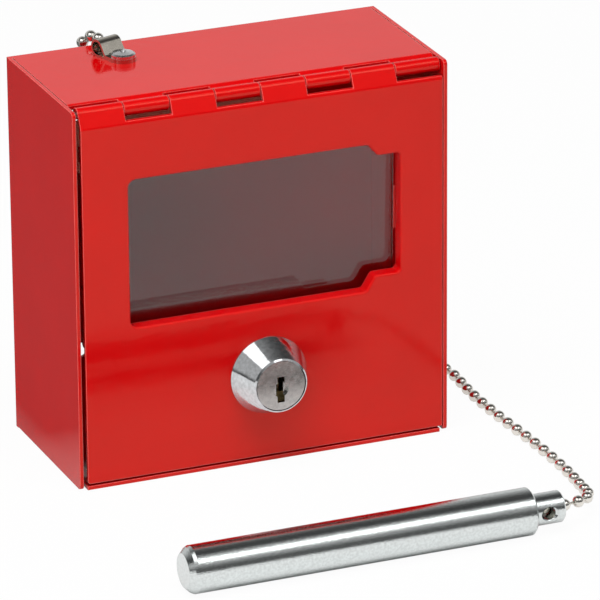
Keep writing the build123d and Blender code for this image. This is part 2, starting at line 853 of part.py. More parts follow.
# ---------------------------------------------------------------- hammer
def hammer_rod():
    """Turned steel bar: chamfered striking end, neck bored for the chain."""
    outline = [
        (hammer_left, 0),
        (hammer_left, hammer_radius - hammer_chamfer - hammer_second_chamfer),
        (hammer_left + hammer_chamfer, hammer_radius - hammer_second_chamfer),
        (hammer_left + hammer_chamfer + hammer_second_chamfer * 2, hammer_radius),
        (hammer_shoulder - hammer_edge, hammer_radius),
        (hammer_shoulder, hammer_radius - hammer_edge),
        (hammer_shoulder, hammer_neck_radius),
        (hammer_neck_end - hammer_edge, hammer_neck_radius),
        (hammer_neck_end, hammer_neck_radius - hammer_edge),
        (hammer_neck_end, 0),
    ]
    rod = revolve(make_face(Polyline(*outline, close=True)), axis=Axis.X)
    cross = Pos(neck_bore_x, 0, 0) * (Rot(90, 0, 0) * Cylinder(neck_bore_radius, 3 * hammer_radius))
    rod -= cross
    sink_depth = hammer_neck_radius - neck_bore_chamfer
    for side in (-1, 1):
        sink = Cone(neck_bore_radius, neck_bore_radius + 2 * neck_bore_chamfer, 2 * neck_bore_chamfer)
        turned = Rot(side * -90, 0, 0) * sink
        rod -= Pos(neck_bore_x, side * (sink_depth + neck_bore_chamfer / 2), 0) * turned
    axial_length = hammer_neck_end - neck_bore_x
    axial = Rot(0, 90, 0) * Cylinder(neck_axial_radius, axial_length)
    rod -= Pos(neck_bore_x + axial_length / 2, 0, 0) * axial
    return Pos(0, hammer_y, hammer_radius) * rod


def bead_in_hammer():
    """Last bead of the chain, held in the cross hole of the neck."""
    bead = Sphere(bead_radius)
    wire_start = bead_radius - wire_in_bead
    wire_end = hammer_neck_end + neck_wire_gap - wire_end_gap - neck_bore_x
    wire = Rot(0, 90, 0) * Cylinder(wire_radius, wire_end - wire_start)
    piece = bead + Pos((wire_start + wire_end) / 2, 0, 0) * wire
    return Pos(neck_bore_x, hammer_y, hammer_radius) * piece


# ---------------------------------------------------------------- chain
floor_z = bead_radius + floor_gap
chain_end = (hammer_neck_end + neck_wire_gap, hammer_y, hammer_radius)
chain_route = [
    (-33.6, back_y - 7.8, box_height + chain_rise),
    (-32.8, back_y - 2.4, box_height + chain_rise + 0.9),
    (-34.4, back_y + 6.6, box_height - 0.6),
    (-36.3, back_y + 13.0, box_height - 12.5),
    (-36.6, back_y + 16.0, box_height - 31.0),
    (-34.0, back_y + 17.5, 67.0),
    (-27.0, back_y + 17.0, 40.0),
    (-14.0, back_y + 15.5, 18.0),
    (2.0, back_y + 14.5, 4.6),
    (21.0, back_y + 14.5, floor_z),
    (44.0, back_y + 13.0, floor_z),
    (64.0, back_y + 8.0, floor_z),
    (78.0, 28.0, floor_z),
    (82.5, 12.0, floor_z),
    (80.3, -8.0, floor_z),
    (80.6, -30.0, floor_z),
    (82.2, -56.0, floor_z),
    (82.0, -80.0, floor_z),
    (79.6, -95.0, 3.0),
    (77.0, -107.0, 5.4),
    (70.8, -114.6, 7.4),
    chain_end,
]


def route_radii(route):
    """Radius of the arc at each inner point of the route."""
    radii = []
    for before, corner, after in zip(route, route[1:], route[2:]):
        incoming = Vector(*corner) - Vector(*before)
        outgoing = Vector(*after) - Vector(*corner)
        turn = radians(incoming.get_angle(outgoing))
        shorter = min(incoming.length, outgoing.length)
        radii.append(route_share * shorter / tan(turn / 2))
    return radii


def ball_chain():
    """Bead chain from the strap to the hammer, as a plain tube of bead size."""
    radii = route_radii(chain_route)
    path = FilletPolyline(*chain_route, radius=radii)
    print("chain arcs", [round(radius, 1) for radius in radii])
    print("chain length", round(path.length, 1))
    start = Plane(origin=path @ 0, z_dir=path % 0)
    tube = sweep(start * Circle(bead_radius), path=path)
    print("chain volume", round(tube.volume, 1))
    section = Circle(bead_radius).area
    print("section times length", round(section * path.length, 1))
    return tube


def as_solids(shape):
    """One solid, or a group of separate solids, ready to be written."""
    if isinstance(shape, list):
        return Compound(children=[Solid(part.solids()[0].wrapped) for part in shape])
    return shape


NODES = {
    "body_shell": body_shell,
    "door_panel": door_panel,
    "hinge_pin": hinge_pin,
    "glass_pane": glass_pane,
    "lower_pane_channel": lambda: pane_channel(-1),
    "upper_pane_channel": lambda: pane_channel(1),
    "pane_end_stop": pane_end_stop,
    "pane_spring": pane_spring,
    "pane_spring_nut": spring_nut,
    "lock_housing": lock_housing,
    "lock_plug": lock_plug,
    "lock_wafers": lock_wafers,
    "wafer_springs": wafer_springs,
    "lock_washer": lock_washer,
    "lock_nut": lock_nut,
    "cam_stop_washer": cam_stop_washer,
    "lock_cam": lock_cam,
    "cam_screw": cam_screw,
    "lock_strike": lock_strike,
    "key_hook": key_hook,
    "key_hook_rivet": key_hook_rivet,
    "chain_strap": chain_strap,
    "strap_rivet": strap_rivet,
    "bead_in_strap": bead_in_strap,
    "ball_chain": ball_chain,
    "bead_in_hammer": bead_in_hammer,
    "hammer_rod": hammer_rod,
}

os.makedirs("parts", exist_ok=True)
for name, make in NODES.items():
    export_step(as_solids(make()), f"parts/{name}.step")
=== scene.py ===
from functools import partial
from math import cos, pi, sin
from typing import NamedTuple

import bpy
from mathutils import Matrix, Vector


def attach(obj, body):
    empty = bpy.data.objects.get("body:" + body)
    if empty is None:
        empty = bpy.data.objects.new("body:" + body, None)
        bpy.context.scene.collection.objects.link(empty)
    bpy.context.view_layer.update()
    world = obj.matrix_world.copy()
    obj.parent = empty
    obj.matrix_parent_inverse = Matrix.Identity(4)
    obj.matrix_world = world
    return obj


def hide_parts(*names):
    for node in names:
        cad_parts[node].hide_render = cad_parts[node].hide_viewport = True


bl_info = {
    "name": "Break glass key box",
    "version": (1, 0, 0),
    "blender": (4, 5, 0),
    "location": "View3D > Sidebar > Key box",
    "description": "Dresses a small steel key box with a glazed door, a cam lock and a chained hammer",
    "category": "Object",
}

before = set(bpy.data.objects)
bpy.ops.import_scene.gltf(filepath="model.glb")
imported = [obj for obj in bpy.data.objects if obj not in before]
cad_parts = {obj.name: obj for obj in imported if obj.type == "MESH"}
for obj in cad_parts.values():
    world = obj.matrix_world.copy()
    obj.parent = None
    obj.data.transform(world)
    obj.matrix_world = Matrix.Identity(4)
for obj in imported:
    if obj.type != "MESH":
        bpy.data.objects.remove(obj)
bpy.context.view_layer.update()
MM = 0.001

# The camera, matched to the box's edges. Angles are in radians.
LENS_MM = 357.09
FAR_CLIP = 20
CAMERA_PLACE = (-0.64814, -1.63849, 0.72997)
CAMERA_PAN = -0.38951
CAMERA_DOWN = 0.37149
CAMERA_ROLL = -0.00805

# The bead chain's line from the strap, down behind the box and along the floor to the hammer.
LYING = 0.00193  # height of the chain's middle where it lies on the floor
CHAIN_POINTS = [
    (-0.0336, 0.0222, 0.1280),
    (-0.0328, 0.0276, 0.1289),
    (-0.0344, 0.0366, 0.1244),
    (-0.0363, 0.0430, 0.1125),
    (-0.0366, 0.0460, 0.0940),
    (-0.0340, 0.0475, 0.0670),
    (-0.0270, 0.0470, 0.0400),
    (-0.0140, 0.0455, 0.0180),
    (0.0020, 0.0445, 0.0046),
    (0.0210, 0.0445, LYING),
    (0.0440, 0.0430, LYING),
    (0.0640, 0.0380, LYING),
    (0.0780, 0.0280, LYING),
    (0.0825, 0.0120, LYING),
    (0.0803, -0.0080, LYING),
    (0.0806, -0.0300, LYING),
    (0.0822, -0.0560, LYING),
    (0.0820, -0.0800, LYING),
    (0.0796, -0.0950, 0.0030),
    (0.0770, -0.1070, 0.0054),
    (0.0708, -0.1146, 0.0074),
    (0.0642, -0.1155, 0.0075),
]
STRAP_BEAD = (-0.03273, 0.0187, 0.12780)  # middle of the first bead, in the strap's loop
NECK_BEAD_X = 0.0572  # middle of the last bead, in the hammer's neck

BEAD_SEGMENTS = 18
BEAD_RINGS = 12
POLE_CUT = 0.4675  # how far a bead's pole is cut back for the link, as a share of the link's diameter
LINK_SIDES = 8
LINK_RINGS = 3
LINK_REACH = 0.9  # where a link ends inside a bead, as a share of the bead's radius


# ------------------------------------------------------------------ settings
def linear(code):
    """An sRGB hex colour as linear red, green and blue."""
    parts = [int(code[i : i + 2], 16) / 255 for i in (1, 3, 5)]
    return [c / 12.92 if c <= 0.04045 else ((c + 0.055) / 1.055) ** 2.4 for c in parts]


def colour_setting(name, code, description):
    """A colour the user can change."""
    return bpy.props.FloatVectorProperty(
        name=name, description=description, subtype="COLOR", size=3, min=0, max=1, default=linear(code)
    )


def length_setting(name, millimetres, description):
    """A length the user can change."""
    return bpy.props.FloatProperty(
        name=name, description=description, unit="LENGTH", precision=5, min=0, default=millimetres * MM
    )


class KeyBoxSizes(bpy.types.PropertyGroup):
    """Sizes of the pieces that are modelled here."""

    bead_diameter: length_setting("Bead diameter", 3.8, "Outside diameter of the chain's hollow beads")
    bead_pitch: length_setting("Bead pitch", 6.3, "Distance between the middles of two beads")
    link_diameter: length_setting("Link diameter", 0.9, "Diameter of the wire between two beads")


class KeyBoxColours(bpy.types.PropertyGroup):
    """Colours of the finishes."""

    coat: colour_setting("Powder coat", "#CC0308", "Signal red powder coat of the box and the door")
    # A painted highlight: this pale pink is mixed into the coat's colour along the cut edges, for the
    # thin bright lines of light there.
    edge: colour_setting("Painted edge highlight", "#FF7D78", "The coat where it is drawn thin over a cut edge")
    glass: colour_setting("Glass", "#F4FAF8", "Slightly green tint of the float glass")
    zinc: colour_setting("Zinc plate", "#E4E9E8", "Bright zinc of the hammer and the small steel pieces")
    chrome: colour_setting("Chrome", "#DADCDE", "Polished chrome of the lock's head")
    bead: colour_setting("Beads", "#ECE8E0", "Bright nickel of the chain's beads")
    nickel: colour_setting("Nickel", "#CCC6BA", "Warm nickel of the chain's strap")
    plug: colour_setting("Satin nickel", "#C9C8C5", "Satin face of the lock's plug")
    brass: colour_setting("Brass", "#E4C98E", "Wafers inside the keyway")
    aluminium: colour_setting("Aluminium", "#E6E7E8", "Head of the blind rivet")
    floor: colour_setting("Floor", "#DCDCDC", "Pale plain floor and backdrop")


def sizes():
    """The sizes in use."""
    return bpy.context.scene.key_box_sizes


def colours():
    """The colours in use."""
    return bpy.context.scene.key_box_colours


# ------------------------------------------------------------------ node work
def add_node(tree, kind, sockets=(), **settings):
    """Add a shader node, set its own settings and fill its sockets, by name in a dict or else in
    order. A node or a socket among the values is linked, a node by its first output."""
    made = tree.nodes.new("ShaderNode" + kind)
    for key, value in settings.items():
        setattr(made, key, value)
    for key, value in sockets.items() if isinstance(sockets, dict) else enumerate(sockets):
        if isinstance(value, bpy.types.Node):
            value = value.outputs[0]
        if isinstance(value, bpy.types.NodeSocket):
            tree.links.new(value, made.inputs[key])
        else:
            made.inputs[key].default_value = value
    return made


def new_material(name):
    """A material without nodes, the function that adds them, and its Object coordinates."""
    material = bpy.data.materials.new(name)
    material.use_nodes = True
    material.node_tree.nodes.clear()
    add = partial(add_node, material.node_tree)
    return material, add, add("TexCoord").outputs["Object"]


NOISE_RANGE = (0.35, 0.65)  # a noise texture seldom leaves this range


def spread(add, place, width, low, high):
    """A value that wanders between low and high, in patches of this width in millimetres."""
    noise = add("TexNoise", {"Vector": place, "Scale": 1 / (width * MM), "Detail": 3.0})
    return add("MapRange", [noise, *NOISE_RANGE, low, high])


def mottled(add, place, width, colour, darkest, brightest=1.0):
    """A colour whose tone wanders between two shares of it, in patches of this width in millimetres."""
    dark, bright = ((*(min(1.0, c * share) for c in colour), 1) for share in (darkest, brightest))
    patches = spread(add, place, width, 0, 1)
    return add("Mix", {0: patches, 6: dark, 7: bright}, data_type="RGBA").outputs[2]


def fine_bump(add, place, width, depth, detail=2.0, normal=None):
    """Small unevenness of a surface, by the width and the depth of its bumps in millimetres."""
    grain = add("TexNoise", {"Vector": place, "Scale": 1 / (width * MM), "Detail": detail})
    sockets = {"Distance": depth * MM, "Height": grain}
    if normal:
        sockets["Normal"] = normal
    return add("Bump", sockets)


# ------------------------------------------------------------------ finishes
# Widths and depths are in millimetres. A gloss is the width of its patches, and the lowest and
# highest roughness.
COAT_MOTTLES = (22.22, 0.97, 1.02)  # width, and the darkest and brightest tone as shares of the red
COAT_GLOSS = (6.25, 0.08, 0.12)
COAT_EDGE = 0.5  # width of the rounding of a cut edge in the shading, and of the painted highlight along it
EDGE_HIGHLIGHT_TURN = (0.97, 0.80)  # cosines of the edge's turn where the painted highlight starts and where it is full
EDGE_HIGHLIGHT_SHARE = 0.8  # share of the painted highlight's pale pink there
ORANGE_PEEL = (3.571, 0.034)  # width and depth of its waves
COAT_GRAIN = (0.6667, 0.0015)  # width and depth


def powder_coat():
    """Polyester powder coat, baked: a glossy, even red with the soft waves of orange peel. Its cut edges
    are rounded in the shading, and a painted highlight, a pale pink mixed into the colour along them,
    gives thin bright lines along the sheet's edges."""
    material, add, place = new_material("red_polyester_powder_coat")
    tone = mottled(add, place, COAT_MOTTLES[0], colours().coat, *COAT_MOTTLES[1:])
    flat = add("NewGeometry").outputs["Normal"]
    rounded = add("Bevel", {"Radius": COAT_EDGE * MM}, samples=8).outputs["Normal"]
    turned = add("VectorMath", [flat, rounded], operation="DOT_PRODUCT").outputs["Value"]
    # Painted highlight: where the rounded normal turns away from the flat one, the pale pink edge colour
    # is mixed into the red, for the bright lines of light on the cut edges.
    bead = add("MapRange", [turned, *EDGE_HIGHLIGHT_TURN, 0, EDGE_HIGHLIGHT_SHARE])
    tone = add("Mix", {0: bead, 6: tone, 7: (*colours().edge, 1)}, data_type="RGBA").outputs[2]
    peel = fine_bump(add, place, *ORANGE_PEEL, detail=0.5, normal=rounded)
    sockets = {
        "Base Color": tone,
        "Roughness": spread(add, place, *COAT_GLOSS),
        "Normal": fine_bump(add, place, *COAT_GRAIN, normal=peel),
        "IOR": 1.5,
        "Specular IOR Level": 0.4,
        "Specular Tint": (1.0, 0.88, 0.62, 1),  # the pigment under the surface warms its shine
    }
    add("OutputMaterial", {"Surface": add("BsdfPrincipled", sockets)})
    return material


class Plate(NamedTuple):
    """A plated or polished metal."""

    colour: str
    smoothest: float
    roughest: float
    grain_width: float
    grain_depth: float
    darkest: float = 0.93  # darkest tone, as a share of the colour
    mottle_width: float = 3.846  # width of darker and brighter patches


PLATE_PATCHES = 1.111  # width of smoother and rougher patches

PLATES = {
    # Bright zinc on turned and stamped steel: cool and nearly white, a mirror broken up by the
    # coating's crystals. They are drawn coarser than real, at 0.4 mm, so that they show.
    "bright_zinc_plate": Plate("zinc", 0.06, 0.13, 0.3846, 0.045, 0.88, 0.7692),
    # Satin nickel: duller and greyer than the chrome round it, and slightly blotched.
    "satin_nickel_plate": Plate("plug", 0.12, 0.18, 0.5556, 0.012, 0.78, 1.111),
    # Stamped brass: a warm dull yellow deep in the keyway.
    "stamped_brass": Plate("brass", 0.25, 0.35, 0.4, 0.006),
    # Nickel on rolled strip: warm grey and half bright.
    "nickel_plated_strip": Plate("nickel", 0.14, 0.24, 0.6667, 0.006),
    # Nickel on pressed beads: small bright mirrors, dark above and pale towards the floor.
    "nickel_plated_steel_bead": Plate("bead", 0.07, 0.13, 0.4, 0.002),
    # Aluminium, upset cold: pale, with a soft shine.
    "bright_aluminium_rivet": Plate("aluminium", 0.2, 0.3, 0.6667, 0.006),
}


def plated_metal(name):
    """One of the plated metals, with its own gloss, grain and mottled tone."""
    plate = PLATES[name]
    material, add, place = new_material(name)
    base = getattr(colours(), plate.colour)
    sockets = {
        "Base Color": mottled(add, place, plate.mottle_width, base, plate.darkest),
        "Metallic": 1.0,
        "Roughness": spread(add, place, PLATE_PATCHES, plate.smoothest, plate.roughest),
        "Normal": fine_bump(add, place, plate.grain_width, plate.grain_depth),
    }
    add("OutputMaterial", {"Surface": add("BsdfPrincipled", sockets)})
    return material


CONE_BELLY = 0.3  # how far the cone's side leans towards the front, as a share of its normal
CHROME_MOTTLES = (1.111, 0.83)  # width, and the darkest tone as a share of the colour
CHROME_WAVES = (6.25, 0.05)  # width and depth
CHROME_GRAIN = (0.4545, 0.003)  # polishing marks, drawn coarser than real so that they show
CHROME_GLOSS = (1.4286, 0.05, 0.12)


def bellied_chrome():
    """Chrome on a polished zinc casting: a bright mirror in hard light and dark sectors, faintly wavy.
    The cone's side is slightly bellied, so that it mirrors the room in front and not the door."""
    material, add, place = new_material("polished_chrome_plate")
    straight = add("TexCoord").outputs["Normal"]
    leaning = add("VectorMath", [straight, (0, -CONE_BELLY, 0)], operation="ADD")
    leaning = add("VectorMath", [leaning], operation="NORMALIZE")
    leaning = add(
        "VectorTransform", [leaning], vector_type="NORMAL", convert_from="OBJECT", convert_to="WORLD"
    )
    waves = fine_bump(add, place, *CHROME_WAVES, normal=leaning)
    sockets = {
        "Base Color": mottled(add, place, CHROME_MOTTLES[0], colours().chrome, CHROME_MOTTLES[1]),
        "Metallic": 1.0,
        "Roughness": spread(add, place, *CHROME_GLOSS),
        "Normal": fine_bump(add, place, *CHROME_GRAIN, normal=waves),
    }
    add("OutputMaterial", {"Surface": add("BsdfPrincipled", sockets)})
    return material


GLASS_DUST = (16.67, 0.0, 0.012)
GLASS_PASSES = (0.8, 0.81, 0.8, 1)  # share of the lamps' light that comes through


def float_glass():
    """Float glass, 2.5 mm: clear, with a mirror image on its face and faint dust. The lamps shine
    through it."""
    material, add, place = new_material("clear_float_glass")
    sockets = {
        "Base Color": (*colours().glass, 1),
        "Roughness": spread(add, place, *GLASS_DUST),
        "IOR": 1.52,
        "Transmission Weight": 1.0,
    }
    pane = add("BsdfPrincipled", sockets)
    lamp_ray = add("LightPath").outputs["Is Shadow Ray"]
    passed = add("BsdfTransparent", {"Color": GLASS_PASSES})
    add("OutputMaterial", {"Surface": add("MixShader", [lamp_ray, pane, passed])})
    return material


def dress(material, *names):
    """Give CAD nodes a finish."""
    for name in names:
        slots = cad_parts[name].data.materials
        slots.clear()
        slots.append(material)


# ------------------------------------------------------------------ stage
class Lamp(NamedTuple):
    """A softbox: place, aim, width and height in metres, power in watts."""

    name: str
    place: tuple
    aim: tuple
    size: tuple
    power: float
    mirrored: bool  # whether metal and paint show it


LAMPS = (
    Lamp("key", (-0.22, -0.38, 1.25), (0, 0, 0.06), (1.0, 0.8), 14.6, False),
    Lamp("card", (-0.63, -0.31, 1.22), (0, 0, 0.03), (1.15, 0.7), 3.4, True),
    Lamp("strip", (0.50, -0.80, 1.12), (0, -0.1, 0.03), (1.0, 0.38), 2.0, True),
    Lamp("fill", (-1.10, -0.72, 0.24), (0.03, 0, 0.07), (1.0, 0.7), 5.9, False),
)

# Brightness of the studio as paint and metal see it: share of the half circle from the
# front horizon over the top to the back horizon, and brightness there.
STUDIO = (
    (0.00, 0.099),
    (0.12, 0.119),
    (0.20, 0.397),
    (0.28, 0.546),
    (0.42, 0.496),
    (0.47, 0.119),
    (0.50, 0.060),
    (0.62, 0.069),
    (0.75, 0.298),
    (0.87, 0.635),
    (1.00, 0.695),
)
DIMMEST_SIDE = 0.06  # light from the left, for what scatters it
BRIGHTEST_SIDE = 0.40  # and from the right
LET_IN_LOSS = 0.8  # share of the studio that doesn't get into the box through the pane

# The floor, in metres. It shows white to the eye. Paint and metal see it less bright, and nearly
# black beside the box's left wall and far behind it.
FLOOR_SIZE = 6
DARK_Y = (-0.045, 0.02)  # it turns dark from the first depth to the second,
DARK_X = (-0.04, -0.07)  # to the left of the box,
FAR_Y = (0.10, 0.20)  # and all over behind it
HAMMER_Y = -0.103
HAMMER_HALF = (0.062, 0.022)  # half the length and half the width of the floor round the hammer
HAMMER_RIM = (0.8, 1.2)  # shares of these over which the glow begins
WHITE_SHARE = 0.96  # the rest keeps the shadows
FRONT_GLOW = 0.55  # share of the glow in mirror images of the floor in front
DARK_SHARE = 0.85  # share of the even tone, in place of lit paper, where it is dark
DARK_LOSS = 0.93  # how much darker that tone is than white


def let_in(add, path):
    """1 for light that reaches the box's inside through the pane: the eye looks in through two glass
    faces, and a third lies between the inside and the studio."""
    inside = add("Math", [path["Transmission Depth"], 2.5], operation="GREATER_THAN")
    return add("Math", [path["Is Transmission Ray"], inside], operation="MULTIPLY")


def seen_directly(add, path):
    """1 for what the eye sees, also through the pane, and 0 for light that a surface has scattered."""
    direct = add("Math", [path["Is Camera Ray"], path["Is Transmission Ray"]], operation="MAXIMUM")
    sent_on = add("Math", [path["Diffuse Depth"], let_in(add, path)], operation="ADD")
    unscattered = add("Math", [sent_on, 0.5], operation="LESS_THAN")
    return add("Math", [direct, unscattered], operation="MULTIPLY")


def off_hammer(add, across, deep):
    """Under 1 on the floor round the hammer and over 1 beyond it."""
    deep = add("Math", [deep, HAMMER_Y], operation="SUBTRACT")
    shares = []
    for way, half in zip((across, deep), HAMMER_HALF):
        way = add("Math", [way], operation="ABSOLUTE")
        shares.append(add("Math", [way, half], operation="DIVIDE"))
    return add("Math", shares, operation="MAXIMUM")


def paper_floor():
    """White paper sweep: plain white to the eye, with a faint shadow at the box's foot."""
    material, add, place = new_material("plain_paper_floor")
    path = add("LightPath").outputs
    across, deep, _ = add("SeparateXYZ", [place]).outputs
    back, left = add("MapRange", [deep, *DARK_Y]), add("MapRange", [across, *DARK_X])
    beside = add("Math", [back, left], operation="MULTIPLY")
    dark = add("Math", [beside, add("MapRange", [deep, *FAR_Y])], operation="MAXIMUM")
    # The glow leaves out the floor round the hammer, so that the door mirrors the hammer's own shadow.
    front = add("MapRange", [off_hammer(add, across, deep), *HAMMER_RIM, 0, FRONT_GLOW])
    even = add("Math", [dark, DARK_SHARE], operation="MULTIPLY")
    glowing = add("Math", [front, even], operation="MAXIMUM")

    direct = seen_directly(add, path)
    inner = let_in(add, path)
    mirrored = add("Math", [path["Is Glossy Ray"], direct], operation="SUBTRACT")
    mirrored = add("Math", [mirrored, 0.0], operation="MAXIMUM")
    white_share = add("Math", [direct, WHITE_SHARE], operation="MULTIPLY")
    mirror_share = add("Math", [mirrored, glowing], operation="MULTIPLY")
    inner_share = add("Math", [inner, LET_IN_LOSS], operation="MULTIPLY")
    share = add("Math", [white_share, mirror_share], operation="ADD")
    share = add("Math", [share, inner_share], operation="MAXIMUM")
    loss = add("Math", [mirrored, dark], operation="MULTIPLY")
    loss = add("Math", [loss, DARK_LOSS], operation="MULTIPLY")
    strength = add("Math", [1.0, loss], operation="SUBTRACT")
    strength = add("Math", [strength, inner], operation="SUBTRACT")
    paper = add("BsdfDiffuse", {"Color": (*colours().floor, 1)})
    glow = add("Emission", {"Strength": strength})
    add("OutputMaterial", {"Surface": add("MixShader", [share, paper, glow])})
    return material


def studio_world():
    """White to the eye; paint and metal see dark gaps between the softboxes."""
    world = bpy.data.worlds.new("studio")
    world.use_nodes = True
    world.node_tree.nodes.clear()
    add = partial(add_node, world.node_tree)
    path = add("LightPath").outputs
    across, deep, up = add("SeparateXYZ", [add("TexCoord").outputs["Generated"]]).outputs
    front = add("Math", [deep, -1.0], operation="MULTIPLY")
    turn = add("Math", [up, front], operation="ARCTAN2")
    ramp = add("ValToRGB", [add("Math", [turn, pi], operation="DIVIDE")])
    stops = ramp.color_ramp.elements
    while len(stops) < len(STUDIO):
        stops.new(1.0)
    for stop, (share, level) in zip(stops, STUDIO):
        stop.position = share
        stop.color = (level, level, level, 1)
    ambient = add("MapRange", [across, -1, 1, DIMMEST_SIDE, BRIGHTEST_SIDE])
    level = add("Mix", {0: path["Is Glossy Ray"], 2: ambient, 3: ramp})
    level = add("Mix", {0: seen_directly(add, path), 2: level, 3: 1.0})
    loss = add("Math", [let_in(add, path), LET_IN_LOSS], operation="MULTIPLY")
    kept = add("Math", [1.0, loss], operation="SUBTRACT")
    strength = add("Math", [level, kept], operation="MULTIPLY")
    add("OutputWorld", {"Surface": add("Background", {"Color": (1, 1, 1, 1), "Strength": strength})})
    return world


class KEYBOX_OT_camera(bpy.types.Operator):
    """Set the camera at the photograph's viewing angle"""

    bl_idname = "keybox.camera"
    bl_label = "Camera"

    def execute(self, context):
        lens = bpy.data.cameras.new("view")
        lens.lens = LENS_MM
        lens.clip_end = FAR_CLIP
        eye = bpy.data.objects.new("view", lens)
        pan = Matrix.Rotation(CAMERA_PAN, 4, "Z")
        tilt = Matrix.Rotation(pi / 2 - CAMERA_DOWN, 4, "X")
        roll = Matrix.Rotation(CAMERA_ROLL, 4, "Z")
        eye.matrix_world = Matrix.Translation(CAMERA_PLACE) @ (pan @ tilt @ roll)
        context.scene.collection.objects.link(eye)
        context.scene.camera = eye
        return {"FINISHED"}


class KEYBOX_OT_stage(bpy.types.Operator):
    """Lay a pale floor and light it softly"""

    bl_idname = "keybox.stage"
    bl_label = "Floor and light"

    def execute(self, context):
        context.scene.view_settings.view_transform = "Standard"
        bpy.ops.object.select_all(action="DESELECT")
        bpy.ops.mesh.primitive_plane_add(size=FLOOR_SIZE, location=(0, 0, 0))
        floor = context.object
        floor.name = "floor"
        floor.data.materials.append(paper_floor())
        context.scene.world = studio_world()
        for lamp in LAMPS:
            light = bpy.data.lights.new(lamp.name, "AREA")
            light.shape = "RECTANGLE"
            light.size, light.size_y = lamp.size
            light.energy = lamp.power
            holder = bpy.data.objects.new(lamp.name, light)
            holder.location = lamp.place
            way = Vector(lamp.aim) - Vector(lamp.place)
            holder.rotation_euler = way.to_track_quat("-Z", "Y").to_euler()
            holder.visible_glossy = lamp.mirrored
            context.scene.collection.objects.link(holder)
        return {"FINISHED"}


# ------------------------------------------------------------------ bead chain
def drawn_line(places):
    """Points close together on the smooth line that these places control."""
    curve = bpy.data.curves.new("chain_line", "CURVE")
    curve.dimensions = "3D"
    spline = curve.splines.new("NURBS")
    spline.points.add(len(places) - 1)
    for point, place in zip(spline.points, places):
        point.co = (*place, 1)
    spline.order_u = 3
    spline.use_endpoint_u = True
    spline.resolution_u = 24
    guide = bpy.data.objects.new("chain_line", curve)
    bpy.context.scene.collection.objects.link(guide)
    bpy.context.view_layer.update()
    drawn = bpy.data.meshes.new_from_object(guide)
    points = [v.co.copy() for v in drawn.vertices]
    bpy.data.meshes.remove(drawn)
    bpy.data.objects.remove(guide)
    bpy.data.curves.remove(curve)
    return points


class Route:
    """A line that knows the point and the direction at any distance from its start."""

    def __init__(self, points):
        self.points = points
        self.run = [0.0]
        for before, after in zip(points, points[1:]):
            self.run.append(self.run[-1] + (after - before).length)
        self.length = self.run[-1]

    def at(self, distance):
        """Point and direction."""
        distance = min(max(distance, 0), self.length)
        i = next(i for i in range(1, len(self.run)) if self.run[i] >= distance)
        share = (distance - self.run[i - 1]) / max(self.run[i] - self.run[i - 1], 1e-9)
        step = self.points[i] - self.points[i - 1]
        return self.points[i - 1] + step * share, step.normalized()

    def turned(self, distance, corners):
        """Corners that stand along Z, moved to a distance on the line and turned along it."""
        point, direction = self.at(distance)
        turn = direction.to_track_quat("Z", "Y").to_matrix()
        return [point + turn @ corner for corner in corners]


def fixed_place(corner):
    """A corner's place to the nearest micrometre, by which corners can be sorted and found."""
    return tuple(round(c * 1e6) for c in corner)


def bead_shape():
    """Corners and faces of one bead along Z, cut flat at both poles where the links go in."""
    bpy.ops.object.select_all(action="DESELECT")
    bpy.ops.mesh.primitive_uv_sphere_add(
        segments=BEAD_SEGMENTS, ring_count=BEAD_RINGS, radius=sizes().bead_diameter / 2
    )
    pattern = bpy.context.object
    ball = pattern.data
    bpy.ops.object.mode_set(mode="EDIT")
    bpy.ops.mesh.select_all(action="DESELECT")
    bpy.ops.object.mode_set(mode="OBJECT")
    for v in ball.vertices:
        v.select = v.co.xy.length < 1e-6  # the two poles
    bpy.ops.object.mode_set(mode="EDIT")
    bpy.ops.mesh.bevel(offset=sizes().link_diameter * POLE_CUT, segments=1, affect="VERTICES")
    bpy.ops.object.mode_set(mode="OBJECT")
    # The bevel numbers its corners differently from run to run, so they get a fixed order here.
    corners = sorted((v.co.copy() for v in ball.vertices), key=fixed_place)
    number = {fixed_place(corner): i for i, corner in enumerate(corners)}
    faces = []
    for polygon in ball.polygons:
        ring = [number[fixed_place(ball.vertices[i].co)] for i in polygon.vertices]
        first = ring.index(min(ring))
        faces.append(tuple(ring[first:] + ring[:first]))
    bpy.data.objects.remove(pattern)
    return corners, sorted(faces)


def link_shape(route, start, end):
    """Corners and faces of a short wire between two beads, bent to the line."""
    radius = sizes().link_diameter / 2
    angles = [2 * pi * side / LINK_SIDES for side in range(LINK_SIDES)]
    ring = [Vector((radius * cos(angle), radius * sin(angle), 0)) for angle in angles]
    corners, faces = [], []
    for k in range(LINK_RINGS):
        corners += route.turned(start + (end - start) * k / (LINK_RINGS - 1), ring)
    for first in range(0, (LINK_RINGS - 1) * LINK_SIDES, LINK_SIDES):
        for side in range(LINK_SIDES):
            a, b = first + side, first + (side + 1) % LINK_SIDES
            faces.append((a, b, b + LINK_SIDES, a + LINK_SIDES))
    faces.append(tuple(reversed(range(LINK_SIDES))))
    faces.append(tuple(range((LINK_RINGS - 1) * LINK_SIDES, LINK_RINGS * LINK_SIDES)))
    return corners, faces


